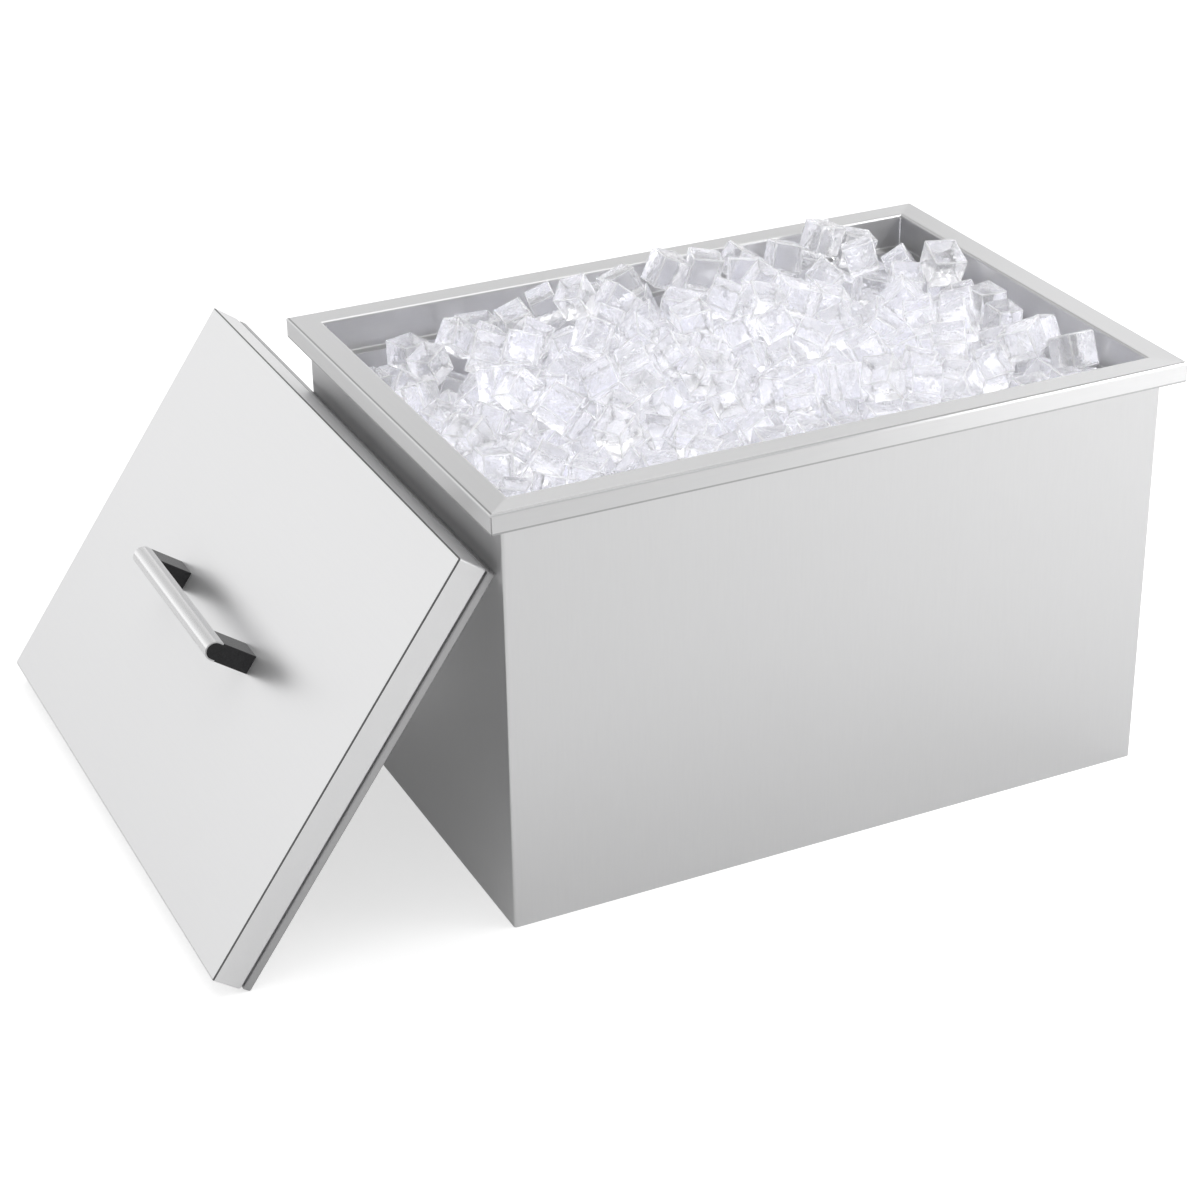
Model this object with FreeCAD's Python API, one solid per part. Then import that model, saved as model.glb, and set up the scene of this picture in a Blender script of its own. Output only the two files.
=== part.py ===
import FreeCAD, Part
import math
import os

# Drop-in ice bin: an insulated stainless tank that hangs by its rim, with a drain in its floor
# and a lid that has been taken off and leans on the bin's left end.
# Millimetres, +Z up. The origin is on the floor under the middle of the bin, and -Y is the front.

# Rim
RIM_LENGTH = 508.0
RIM_DEPTH = 356.0
RIM_HEIGHT = 308.0
SKIRT_DROP = 14.0
FLANGE_WIDTH = 20.0
CORNER_SLIT = 1.2

# Sheet metal
SHEET = 0.8
FOLD_RADIUS = 2.0

# Ledge that carries the lid, below the rim
LEDGE_DROP = 25.0
LEDGE_WIDTH = 8.0

# Casing
OVERHANG = 12.0
CASING_RETURN = 10.0
BASE_EDGE = 12.0
BASE_FIT = 0.2

# Tank floor
FLOOR_EDGE_HEIGHT = 52.0
FLOOR_FALL = 6.0
FLOOR_SEAT = 96.0

# Insulation
FOAM_FIT = 0.05
DRAIN_POCKET = 4.0

# Drain
DRAIN_FROM_END = 76.0
CUP_BORE = 46.0
CUP_WALL = 2.0
CUP_DEPTH = 16.0
CUP_FLOOR = 2.5
CUP_FIT = 0.5
DRAIN_FLANGE_DIAMETER = 76.0
DRAIN_FLANGE_THICKNESS = 1.6
TAIL_BORE = 24.1
TAIL_WALL = 4.5
TAIL_RECESS = 4.0
TAIL_CLEARANCE = 4.0
GASKET_WIDTH = 8.0
GASKET_THICKNESS = 2.0
NUT_FLATS = 62.0
NUT_HEIGHT = 8.0
NUT_FIT = 0.1
STRAINER_THICKNESS = 1.0
STRAINER_FIT = 0.1
STRAINER_HOLE = 3.2
STRAINER_INNER_RING = 5.0
STRAINER_OUTER_RING = 9.5
INNER_HOLE_COUNT = 6
OUTER_HOLE_COUNT = 11

# Drain plug
PLUG_FIT = 1.0
PLUG_SEAT_GAP = 0.1
PLUG_DISC = 3.5
PLUG_STEM = 10.0
PLUG_KNOB_DIAMETER = 18.0
PLUG_KNOB_HEIGHT = 4.0
PLUG_CHAMFER = 1.2
PLUG_SUNK = 1.4

# Lid
LID_FIT = 2.0
LID_SKIRT = 21.5
LID_GROOVE = 1.8
LID_LIP = 6.0
GROOVE_DEPTH = 3.0
LIP_INSET = 0.4
LID_FOLD = 1.2
PAN_FIT = 0.1
PAN_OVERLAP = 12.0
LID_LEAN = 55.0
LID_SHIFT = 77.0
LEAN_GAP = 0.3
LEAN_HEADROOM = 5.0

# Lid handle
HANDLE_LENGTH = 157.0
HANDLE_HEIGHT = 36.0
BAR_WIDTH = 14.0
BAR_SIDE = 3.0
BAR_WALL = 1.0
LEG_LENGTH = 21.0
LEG_FIT = 0.05
LEG_EDGE = 0.5
SCREW_DIAMETER = 4.0
SCREW_FIT = 0.05
SCREW_HOLE_FIT = 0.25
SCREW_REACH = 14.0
SCREW_TIP_GAP = 1.0
SCREW_HEAD_DIAMETER = 8.0
SCREW_HEAD_HEIGHT = 3.0
WASHER_DIAMETER = 12.0
WASHER_THICKNESS = 1.0
SCREW_POCKET = 2.0

# Worked out from the sizes above
TANK_INSET = FLANGE_WIDTH + LEDGE_WIDTH
TANK_LENGTH = RIM_LENGTH - 2 * TANK_INSET
TANK_DEPTH = RIM_DEPTH - 2 * TANK_INSET
CASING_LENGTH = RIM_LENGTH - 2 * OVERHANG
CASING_DEPTH = RIM_DEPTH - 2 * OVERHANG
LEDGE_HEIGHT = RIM_HEIGHT - LEDGE_DROP
SKIRT_BOTTOM = RIM_HEIGHT - SKIRT_DROP
DRAIN_OFFSET = TANK_LENGTH / 2 - DRAIN_FROM_END
FOAM_GAP = (FOLD_RADIUS - SHEET) * (1 - math.sqrt(0.5)) + FOAM_FIT
SEAT_HEIGHT = FLOOR_EDGE_HEIGHT - FLOOR_FALL
CUP_RADIUS = CUP_BORE / 2 + CUP_WALL
TAIL_RADIUS = TAIL_BORE / 2 + TAIL_WALL
DRAIN_TOP = SEAT_HEIGHT + DRAIN_FLANGE_THICKNESS
CUP_FLOOR_TOP = DRAIN_TOP - CUP_DEPTH
STRAINER_TOP = CUP_FLOOR_TOP + STRAINER_THICKNESS
SEAT_UNDERSIDE = SEAT_HEIGHT - SHEET
NUT_TOP = SEAT_UNDERSIDE - GASKET_THICKNESS
POCKET_RADIUS = NUT_FLATS / math.sqrt(3) + DRAIN_POCKET
LID_WIDTH = RIM_DEPTH - 2 * FLANGE_WIDTH - 2 * LID_FIT
LID_LENGTH = RIM_LENGTH - 2 * FLANGE_WIDTH - 2 * LID_FIT
LID_THICKNESS = LID_SKIRT + LID_GROOVE + LID_LIP
BAR_RADIUS = BAR_WIDTH / 2
BAR_UNDERSIDE = HANDLE_HEIGHT - BAR_RADIUS - BAR_SIDE
SCREW_SPACING = HANDLE_LENGTH - LEG_LENGTH

UP = FreeCAD.Vector(0, 0, 1)
ALONG_X = FreeCAD.Vector(1, 0, 0)
ALONG_Y = FreeCAD.Vector(0, 1, 0)
ORIGIN = FreeCAD.Vector(0, 0, 0)
DRAIN_CENTRE = FreeCAD.Vector(DRAIN_OFFSET, 0, 0)


def block(low, high):
    """Box between two opposite corners."""
    size = [b - a for a, b in zip(low, high)]
    return Part.makeBox(*size, FreeCAD.Vector(*low))


def centred_block(length, depth, bottom, top):
    """Box centred on the Z axis."""
    return block((-length / 2, -depth / 2, bottom), (length / 2, depth / 2, top))


def cylinder(radius, bottom, top, centre=ORIGIN):
    """Upright cylinder about a point's vertical line."""
    start = FreeCAD.Vector(centre.x, centre.y, bottom)
    return Part.makeCylinder(radius, top - bottom, start, UP)


def prism(outline, bottom, top):
    """Upright solid over a flat outline of (x, y) corners."""
    corners = [FreeCAD.Vector(x, y, bottom) for x, y in outline]
    face = Part.Face(Part.makePolygon(corners + corners[:1]))
    return face.extrude(UP * (top - bottom))


def turned(outline, centre):
    """Solid of revolution about a vertical line, from (radius, height) corners."""
    corners = [FreeCAD.Vector(r, 0, z) for r, z in outline]
    face = Part.Face(Part.makePolygon(corners + corners[:1]))
    solid = face.revolve(ORIGIN, UP, 360)
    solid.translate(centre)
    return solid


def quarter_turns(shape, turns):
    """Copy of a front piece, turned about the bin's middle to another side."""
    copy = shape.copy()
    copy.rotate(ORIGIN, UP, 90 * turns)
    return copy


def sheet_edges(points, place, offset):
    """One surface of a folded sheet, as lines and bends, at an offset from the sheet's middle."""
    bend = FOLD_RADIUS - SHEET / 2
    steps = []
    for (ax, ay), (bx, by) in zip(points, points[1:]):
        reach = math.hypot(bx - ax, by - ay)
        steps.append(((bx - ax) / reach, (by - ay) / reach))
    normals = [(-dy, dx) for dx, dy in steps]

    def shifted(point, normal, distance):
        return (point[0] + normal[0] * distance, point[1] + normal[1] * distance)

    edges = []
    start = shifted(points[0], normals[0], offset)
    for corner, before, after, normal, next_normal in zip(
            points[1:], steps, steps[1:], normals, normals[1:]):
        turn = 1 if before[0] * after[1] - before[1] * after[0] > 0 else -1
        bend_start = (corner[0] - before[0] * bend, corner[1] - before[1] * bend)
        bend_end = (corner[0] + after[0] * bend, corner[1] + after[1] * bend)
        centre = shifted(bend_start, normal, turn * bend)
        radius = bend - turn * offset
        away = math.hypot(corner[0] - centre[0], corner[1] - centre[1])
        middle = (centre[0] + (corner[0] - centre[0]) * radius / away,
                  centre[1] + (corner[1] - centre[1]) * radius / away)
        arc_start = shifted(bend_start, normal, offset)
        arc_end = shifted(bend_end, next_normal, offset)
        edges.append(Part.LineSegment(place(*start), place(*arc_start)).toShape())
        edges.append(Part.Arc(place(*arc_start), place(*middle), place(*arc_end)).toShape())
        start = arc_end
    end = shifted(points[-1], normals[-1], offset)
    edges.append(Part.LineSegment(place(*start), place(*end)).toShape())
    return edges


def folded_sheet(points, place, run):
    """Sheet folded square along a line of points through its middle, extruded along a run."""
    left = sheet_edges(points, place, SHEET / 2)
    right = sheet_edges(points, place, -SHEET / 2)
    start_cap = Part.LineSegment(right[0].Vertexes[0].Point, left[0].Vertexes[0].Point).toShape()
    end_cap = Part.LineSegment(left[-1].Vertexes[-1].Point, right[-1].Vertexes[-1].Point).toShape()
    outline = Part.Wire(left + [end_cap] + right[::-1] + [start_cap])
    return Part.Face(outline).extrude(run)


def pan(length, depth, height):
    """Shallow pan of folded sheet, upside down: its plate lies under z = 0 and its sides hang down."""
    def rounded(inset, top, radius):
        solid = centred_block(length - 2 * inset, depth - 2 * inset, -height, top)
        kept = [edge for edge in solid.Edges if edge.BoundBox.ZMax > top - radius]
        return solid.makeFillet(radius, kept)

    return rounded(0, 0, FOLD_RADIUS).cut(rounded(SHEET, -SHEET, FOLD_RADIUS - SHEET))


def rounded_block(length, depth, bottom, top, radius):
    """Box centred on the Z axis, with all its edges rounded."""
    solid = centred_block(length, depth, bottom, top)
    return solid.makeFillet(radius, solid.Edges)


def turned_over(shape):
    """The same piece with its top underneath."""
    copy = shape.copy()
    copy.rotate(ORIGIN, ALONG_X, 180)
    return copy


# Rim and tank

def rim_strip(run, reach):
    """Front strip of a rim: skirt, flange, upper wall and lid ledge in one folded sheet, mitred."""
    half = SHEET / 2
    middle = [
        (half, SKIRT_BOTTOM),
        (half, RIM_HEIGHT - half),
        (FLANGE_WIDTH - half, RIM_HEIGHT - half),
        (FLANGE_WIDTH - half, LEDGE_HEIGHT - half),
        (TANK_INSET, LEDGE_HEIGHT - half),
    ]
    strip = folded_sheet(middle, lambda p, z: FreeCAD.Vector(-run / 2, p - reach, z), ALONG_X * run)
    inwards = TANK_INSET + SHEET
    mitre = [(-run / 2, -reach), (run / 2, -reach),
             (run / 2 - inwards, inwards - reach), (inwards - run / 2, inwards - reach)]
    strip = strip.common(prism(mitre, 0, RIM_HEIGHT + SHEET))
    slit_length = 4 * FOLD_RADIUS
    slit = centred_block(slit_length, CORNER_SLIT, SKIRT_BOTTOM, RIM_HEIGHT - FOLD_RADIUS)
    for side in (-1, 1):
        corner_slit = slit.copy()
        corner_slit.rotate(ORIGIN, UP, -45 * side)
        corner_slit.translate(FreeCAD.Vector(side * run / 2, -reach, 0))
        strip = strip.cut(corner_slit)
    return strip


def rim():
    long_strip = rim_strip(RIM_LENGTH, RIM_DEPTH / 2)
    end_strip = rim_strip(RIM_DEPTH, RIM_LENGTH / 2)
    return {
        "rim_front": long_strip,
        "rim_right": quarter_turns(end_strip, 1),
        "rim_back": quarter_turns(long_strip, 2),
        "rim_left": quarter_turns(end_strip, 3),
    }


def tank_walls():
    """Flat walls from the floor pan's edge to the underside of the lid ledge."""
    bottom = FLOOR_EDGE_HEIGHT
    top = LEDGE_HEIGHT - SHEET
    long_half = TANK_LENGTH / 2
    deep_half = TANK_DEPTH / 2
    long_wall = block((-long_half - SHEET, -deep_half - SHEET, bottom), (long_half + SHEET, -deep_half, top))
    end_wall = block((long_half, -deep_half, bottom), (long_half + SHEET, deep_half, top))
    return {
        "tank_front_wall": long_wall,
        "tank_back_wall": quarter_turns(long_wall, 2),
        "tank_right_wall": end_wall,
        "tank_left_wall": quarter_turns(end_wall, 2),
    }


def floor_hollow(lowered):
    """The shallow hollow of the floor pan: wide at the walls, narrow at the drain's seat."""
    def rectangle(length, depth, x, z):
        corners = [(-1, -1), (1, -1), (1, 1), (-1, 1)]
        points = [FreeCAD.Vector(x + a * length / 2, b * depth / 2, z) for a, b in corners]
        return Part.makePolygon(points + points[:1])

    rims = [rectangle(TANK_LENGTH, TANK_DEPTH, 0, FLOOR_EDGE_HEIGHT - lowered),
            rectangle(FLOOR_SEAT, FLOOR_SEAT, DRAIN_OFFSET, SEAT_HEIGHT - lowered)]
    return Part.makeLoft(rims, True, True)


def tank_floor():
    plate = centred_block(TANK_LENGTH + 2 * SHEET, TANK_DEPTH + 2 * SHEET,
                          FLOOR_EDGE_HEIGHT - SHEET, FLOOR_EDGE_HEIGHT)
    dished = plate.fuse(floor_hollow(SHEET)).cut(floor_hollow(0))
    hole = cylinder(CUP_RADIUS + CUP_FIT, 0, RIM_HEIGHT, DRAIN_CENTRE)
    return {"tank_floor": dished.cut(hole).removeSplitter()}


# Casing

def casing():
    """Front and back panels folded round the corners, flat end panels between them, and a base tray."""
    half = SHEET / 2
    top = RIM_HEIGHT - SHEET
    side = CASING_LENGTH / 2
    front = -CASING_DEPTH / 2
    middle = [
        (-side + half, front + CASING_RETURN),
        (-side + half, front + half),
        (side - half, front + half),
        (side - half, front + CASING_RETURN),
    ]
    front_panel = folded_sheet(middle, lambda x, y: FreeCAD.Vector(x, y, 0), UP * top)
    end_panel = block((side - SHEET, front + CASING_RETURN, 0), (side, -front - CASING_RETURN, top))
    tray_inset = 2 * (SHEET + BASE_FIT)
    tray = turned_over(pan(CASING_LENGTH - tray_inset, CASING_DEPTH - tray_inset, BASE_EDGE))
    hole = cylinder(TAIL_RADIUS + TAIL_CLEARANCE, 0, BASE_EDGE, DRAIN_CENTRE)
    return {
        "casing_front": front_panel,
        "casing_back": quarter_turns(front_panel, 2),
        "casing_right": end_panel,
        "casing_left": quarter_turns(end_panel, 2),
        "casing_base": tray.cut(hole),
    }


# Insulation

def wall_foam(length, reach):
    """Front foam slab: thick beside the tank, thin beside the rim's upper wall."""
    outer = OVERHANG + SHEET + FOAM_GAP
    inner = TANK_INSET - SHEET - FOAM_GAP
    upper = FLANGE_WIDTH - SHEET - FOAM_GAP
    bottom = FLOOR_EDGE_HEIGHT - SHEET
    step = LEDGE_HEIGHT - SHEET - FOAM_GAP
    top = RIM_HEIGHT - SHEET - FOAM_GAP
    slab = block((-length / 2, outer - reach, bottom), (length / 2, inner - reach, step))
    collar = block((-length / 2, outer - reach, step), (length / 2, upper - reach, top))
    return slab.fuse(collar).removeSplitter()


def insulation():
    long_foam = wall_foam(CASING_LENGTH - 2 * SHEET - 2 * FOAM_GAP, RIM_DEPTH / 2)
    end_length = TANK_DEPTH + 2 * SHEET
    end_foam = wall_foam(end_length, RIM_LENGTH / 2)
    edge = 2 * (2 * SHEET + BASE_FIT + FOAM_GAP)
    slab = centred_block(CASING_LENGTH - edge, CASING_DEPTH - edge,
                         SHEET + FOAM_GAP, FLOOR_EDGE_HEIGHT - SHEET - FOAM_GAP)
    slab = slab.cut(floor_hollow(SHEET + FOAM_GAP))
    pocket = cylinder(POCKET_RADIUS, 0, FLOOR_EDGE_HEIGHT, DRAIN_CENTRE)
    return {
        "insulation_front": long_foam,
        "insulation_back": quarter_turns(long_foam, 2),
        "insulation_right": quarter_turns(end_foam, 1),
        "insulation_left": quarter_turns(end_foam, 3),
        "insulation_bottom": slab.cut(pocket),
    }


# Drain

def drain_body():
    """Cup that hangs in the floor by its flange, with a tail for the drain pipe."""
    bore = CUP_BORE / 2
    tail_bore = TAIL_BORE / 2
    under_cup = CUP_FLOOR_TOP - CUP_FLOOR
    outline = [
        (bore, DRAIN_TOP),
        (DRAIN_FLANGE_DIAMETER / 2, DRAIN_TOP),
        (DRAIN_FLANGE_DIAMETER / 2, SEAT_HEIGHT),
        (CUP_RADIUS, SEAT_HEIGHT),
        (CUP_RADIUS, under_cup),
        (TAIL_RADIUS, under_cup),
        (TAIL_RADIUS, TAIL_RECESS),
        (tail_bore, TAIL_RECESS),
        (tail_bore, CUP_FLOOR_TOP),
        (bore, CUP_FLOOR_TOP),
    ]
    return turned(outline, DRAIN_CENTRE)


def drain_gasket():
    ring_bore = CUP_RADIUS + CUP_FIT
    outer = cylinder(ring_bore + GASKET_WIDTH, NUT_TOP, SEAT_UNDERSIDE, DRAIN_CENTRE)
    return outer.cut(cylinder(ring_bore, NUT_TOP, SEAT_UNDERSIDE, DRAIN_CENTRE))


def drain_lock_nut():
    corner = NUT_FLATS / math.sqrt(3)
    bottom = NUT_TOP - NUT_HEIGHT
    angles = [math.radians(60 * i) for i in range(6)]
    outline = [(DRAIN_OFFSET + corner * math.cos(a), corner * math.sin(a)) for a in angles]
    nut = prism(outline, bottom, NUT_TOP)
    return nut.cut(cylinder(CUP_RADIUS + NUT_FIT, bottom, NUT_TOP, DRAIN_CENTRE))


def drain_strainer():
    disc = cylinder(CUP_BORE / 2 - STRAINER_FIT, CUP_FLOOR_TOP, STRAINER_TOP, DRAIN_CENTRE)
    rings = [(STRAINER_INNER_RING, INNER_HOLE_COUNT), (STRAINER_OUTER_RING, OUTER_HOLE_COUNT)]
    for ring_radius, count in rings:
        for i in range(count):
            angle = 2 * math.pi * i / count
            spot = FreeCAD.Vector(ring_radius * math.cos(angle), ring_radius * math.sin(angle), 0)
            disc = disc.cut(cylinder(STRAINER_HOLE / 2, CUP_FLOOR_TOP, STRAINER_TOP, DRAIN_CENTRE + spot))
    return disc


def drain_plug():
    """Rubber disc that covers the strainer, with a stem and a knob to pull it by."""
    bottom = STRAINER_TOP + PLUG_SEAT_GAP
    top = DRAIN_TOP - PLUG_SUNK
    disc = CUP_BORE / 2 - PLUG_FIT
    stem = PLUG_STEM / 2
    knob = PLUG_KNOB_DIAMETER / 2
    disc_top = bottom + PLUG_DISC
    knob_bottom = top - PLUG_KNOB_HEIGHT
    outline = [
        (0, bottom),
        (disc, bottom),
        (disc, disc_top - PLUG_CHAMFER),
        (disc - PLUG_CHAMFER, disc_top),
        (stem, disc_top),
        (stem, knob_bottom),
        (knob - PLUG_CHAMFER, knob_bottom),
        (knob, knob_bottom + PLUG_CHAMFER),
        (knob, top - PLUG_CHAMFER),
        (knob - PLUG_CHAMFER, top),
        (0, top),
    ]
    return turned(outline, DRAIN_CENTRE)


def drain():
    return {
        "drain_body": drain_body(),
        "drain_gasket": drain_gasket(),
        "drain_lock_nut": drain_lock_nut(),
        "drain_strainer": drain_strainer(),
        "drain_plug": drain_plug(),
    }


# Lid, made lying flat: X up its slope, Y along its length, Z out of its face, with its face at z = 0

def screw_spots():
    """Screw centres under the two handle legs."""
    return [FreeCAD.Vector(0, side * SCREW_SPACING / 2, 0) for side in (-1, 1)]


def with_holes(solid, radius, bottom, top):
    """Solid with a hole at each handle screw."""
    for spot in screw_spots():
        solid = solid.cut(cylinder(radius, bottom, top, spot))
    return solid


def inset_sides(inset):
    """The lid's two sides, each brought in by an inset."""
    return LID_WIDTH - 2 * inset, LID_LENGTH - 2 * inset


def lid_top_pan():
    """Face with a skirt all round, whose lower edge is folded inwards to meet the bottom pan."""
    skin = rounded_block(*inset_sides(0), -LID_SKIRT, 0, LID_FOLD)
    hollow = rounded_block(*inset_sides(SHEET), SHEET - LID_SKIRT, -SHEET, LID_FOLD - SHEET)
    mouth = centred_block(*inset_sides(GROOVE_DEPTH - PAN_FIT), -LID_SKIRT, -LID_SKIRT / 2)
    top_pan = skin.cut(hollow).cut(mouth)
    return with_holes(top_pan, SCREW_DIAMETER / 2 + SCREW_HOLE_FIT, -SHEET, 0)


def lid_bottom_pan():
    """Tray with a lip flush with the skirt above it, and a narrower collar that goes up inside the skirt."""
    lip_top = LID_LIP - LID_THICKNESS
    lip_middle = lip_top - LID_LIP / 2
    collar_top = PAN_OVERLAP - LID_SKIRT
    skin = rounded_block(*inset_sides(LIP_INSET), -LID_THICKNESS, lip_top, LID_FOLD)
    skin = skin.fuse(centred_block(*inset_sides(GROOVE_DEPTH), lip_middle, collar_top))
    hollow = rounded_block(*inset_sides(LIP_INSET + SHEET), SHEET - LID_THICKNESS, lip_top - SHEET, LID_FOLD - SHEET)
    hollow = hollow.fuse(centred_block(*inset_sides(GROOVE_DEPTH + SHEET), lip_middle, collar_top))
    return skin.cut(hollow)


def lid_pans():
    core = centred_block(*inset_sides(GROOVE_DEPTH + SHEET + FOAM_GAP),
                         SHEET + FOAM_GAP - LID_THICKNESS, -SHEET - FOAM_GAP)
    below_head = SHEET + WASHER_THICKNESS + SCREW_HEAD_HEIGHT + SCREW_POCKET
    core = with_holes(core, WASHER_DIAMETER / 2 + SCREW_POCKET, -below_head, 0)
    return {"lid_top_pan": lid_top_pan(), "lid_bottom_pan": lid_bottom_pan(), "lid_insulation": core}


def half_round(radius, bottom, length):
    """Bar with a half-round top at the handle's height, along Y and centred."""
    crown = HANDLE_HEIGHT - BAR_RADIUS
    start = -length / 2
    left, right = FreeCAD.Vector(-radius, start, crown), FreeCAD.Vector(radius, start, crown)
    left_foot, right_foot = FreeCAD.Vector(-radius, start, bottom), FreeCAD.Vector(radius, start, bottom)
    edges = [
        Part.LineSegment(left_foot, left).toShape(),
        Part.Arc(left, FreeCAD.Vector(0, start, crown + radius), right).toShape(),
        Part.LineSegment(right, right_foot).toShape(),
        Part.LineSegment(right_foot, left_foot).toShape(),
    ]
    return Part.Face(Part.Wire(edges)).extrude(ALONG_Y * length)


def handle():
    """Half-round bar whose ends are hollowed for the heads of two legs, with screws from inside the lid."""
    bar = half_round(BAR_RADIUS, BAR_UNDERSIDE, HANDLE_LENGTH)
    socket = half_round(BAR_RADIUS - BAR_WALL, BAR_UNDERSIDE, LEG_LENGTH)
    head = half_round(BAR_RADIUS - BAR_WALL - LEG_FIT, BAR_UNDERSIDE, LEG_LENGTH - LEG_FIT)
    post = centred_block(BAR_WIDTH, LEG_LENGTH, 0, BAR_UNDERSIDE)
    uprights = [edge for edge in post.Edges if edge.BoundBox.ZLength > SHEET]
    post = post.makeFillet(LEG_EDGE, uprights)
    leg_hole = cylinder(SCREW_DIAMETER / 2 + SCREW_FIT, 0, SCREW_REACH + SCREW_TIP_GAP)
    legs = []
    screws = []
    washers = []
    for spot, outwards in zip(screw_spots(), (-1, 1)):
        bar = bar.cut(socket.translated(spot))
        plug = head.translated(ALONG_Y * (outwards * LEG_FIT / 2))
        legs.append(post.fuse(plug).cut(leg_hole).translated(spot))
        washer_top = -SHEET
        head_top = washer_top - WASHER_THICKNESS
        shank = cylinder(SCREW_DIAMETER / 2, head_top, SCREW_REACH, spot)
        screw_head = cylinder(SCREW_HEAD_DIAMETER / 2, head_top - SCREW_HEAD_HEIGHT, head_top, spot)
        screws.append(shank.fuse(screw_head).removeSplitter())
        ring = cylinder(WASHER_DIAMETER / 2, head_top, washer_top, spot)
        washers.append(ring.cut(cylinder(SCREW_DIAMETER / 2 + SCREW_HOLE_FIT, head_top, washer_top, spot)))
    return {
        "handle_bar": bar,
        "handle_leg_front": legs[0],
        "handle_leg_back": legs[1],
        "handle_screws": Part.makeCompound(screws),
        "handle_washers": Part.makeCompound(washers),
    }


def lean_angle(bend_across, bend_down):
    """Slope of the leaning lid: a lid too wide to stay under the rim's skirt leans lower."""
    upper_edge = LID_WIDTH / 2 + bend_across
    highest = SKIRT_BOTTOM - LEAN_HEADROOM - LID_FOLD
    share = min(1, highest / math.hypot(upper_edge, bend_down))
    steepest = math.asin(share) - math.atan2(bend_down, upper_edge)
    return min(math.radians(LID_LEAN), steepest)


def leaning(shape):
    """A lid piece as it leans: the lip's lower edge on the floor, its upper edge against the casing."""
    bend_across = LID_WIDTH / 2 - LIP_INSET - LID_FOLD
    bend_down = LID_THICKNESS - LID_FOLD
    lean = lean_angle(bend_across, bend_down)
    rise, run = math.sin(lean), math.cos(lean)
    wall = -CASING_LENGTH / 2 - LEAN_GAP
    x = wall - LID_FOLD - bend_across * run - bend_down * rise
    z = LID_FOLD + bend_across * rise + bend_down * run
    turn = FreeCAD.Rotation(ALONG_Y, -math.degrees(lean))
    placed = shape.copy()
    placed.Placement = FreeCAD.Placement(FreeCAD.Vector(x, LID_SHIFT, z), turn).multiply(placed.Placement)
    return placed


def lid():
    flat = {**lid_pans(), **handle()}
    return {name: leaning(shape) for name, shape in flat.items()}


def main():
    os.makedirs("parts", exist_ok=True)
    pieces = {**rim(), **tank_walls(), **tank_floor(), **casing(), **insulation(), **drain(), **lid()}
    for name, shape in pieces.items():
        shape.exportStep(f"parts/{name}.step")
        solids = len(shape.Solids)
        print(f"{name}: {solids} solid, {shape.Volume / 1000:.1f} cm3, valid {shape.isValid()}")


main()
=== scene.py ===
# %% [markdown]
# # A drop-in ice bin, dressed in Blender
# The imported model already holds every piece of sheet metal, the drain and the lid at their real size.
# This lesson gives them their finish, adds the weld beads that a welder leaves in the corners of the
# well, fills the well with ice cubes, and sets up the camera, the floor and the light.

# %% Load the frame
import math
import random

import bpy
from mathutils import Matrix, Vector


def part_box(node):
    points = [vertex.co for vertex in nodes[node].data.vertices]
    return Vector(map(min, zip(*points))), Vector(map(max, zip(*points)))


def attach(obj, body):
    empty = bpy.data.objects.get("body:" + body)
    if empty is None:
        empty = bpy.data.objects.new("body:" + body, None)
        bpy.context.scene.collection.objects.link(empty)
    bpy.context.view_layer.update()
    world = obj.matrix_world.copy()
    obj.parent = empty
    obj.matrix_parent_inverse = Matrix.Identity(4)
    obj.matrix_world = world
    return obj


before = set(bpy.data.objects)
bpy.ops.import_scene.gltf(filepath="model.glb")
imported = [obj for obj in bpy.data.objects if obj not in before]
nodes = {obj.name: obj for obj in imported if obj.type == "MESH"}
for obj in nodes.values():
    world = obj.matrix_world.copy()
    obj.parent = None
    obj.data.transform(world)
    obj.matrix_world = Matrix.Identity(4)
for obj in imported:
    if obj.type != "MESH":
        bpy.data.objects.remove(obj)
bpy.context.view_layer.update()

MM = 0.001

# %% [markdown]
# ## Camera
# The camera stands to the left of the bin's front and looks down at it. Its place was worked out from
# the corners of the rim, the casing and the lid. A camera can be aimed with a constraint, or with a
# matrix whose columns are its own right, up and backward directions. The matrix is used here, because
# a small roll of the camera is then one more rotation.

# %% Camera
IMAGE_SIDE = 1200
SENSOR_WIDTH = 36.0
FOCAL_PIXELS = 2795.0
CAMERA_PLACE = Vector((-0.8366, -1.5658, 1.0378))
CAMERA_AZIMUTH = math.radians(-25.24)
CAMERA_ELEVATION = math.radians(27.66)
CAMERA_ROLL = math.radians(-0.92)


def aimed_camera(place, azimuth, elevation, roll):
    """Camera at a place, looking along an azimuth and down by an elevation, then rolled."""
    level = math.cos(elevation)
    back = Vector((math.sin(azimuth) * level, -math.cos(azimuth) * level, math.sin(elevation)))
    right = Vector((math.cos(azimuth), math.sin(azimuth), 0))
    up = back.cross(right)
    turned_right = right * math.cos(roll) + up * math.sin(roll)
    turned_up = up * math.cos(roll) - right * math.sin(roll)
    turn = Matrix((turned_right, turned_up, back)).transposed().to_4x4()
    bpy.ops.object.camera_add()
    camera = bpy.context.object
    camera.name = "photo_camera"
    camera.matrix_world = Matrix.Translation(place) @ turn
    return camera


camera = aimed_camera(CAMERA_PLACE, CAMERA_AZIMUTH, CAMERA_ELEVATION, CAMERA_ROLL)
camera.data.sensor_width = SENSOR_WIDTH
camera.data.lens = FOCAL_PIXELS / IMAGE_SIDE * SENSOR_WIDTH
bpy.context.scene.camera = camera
print("lens", round(camera.data.lens, 1), "mm")

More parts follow.
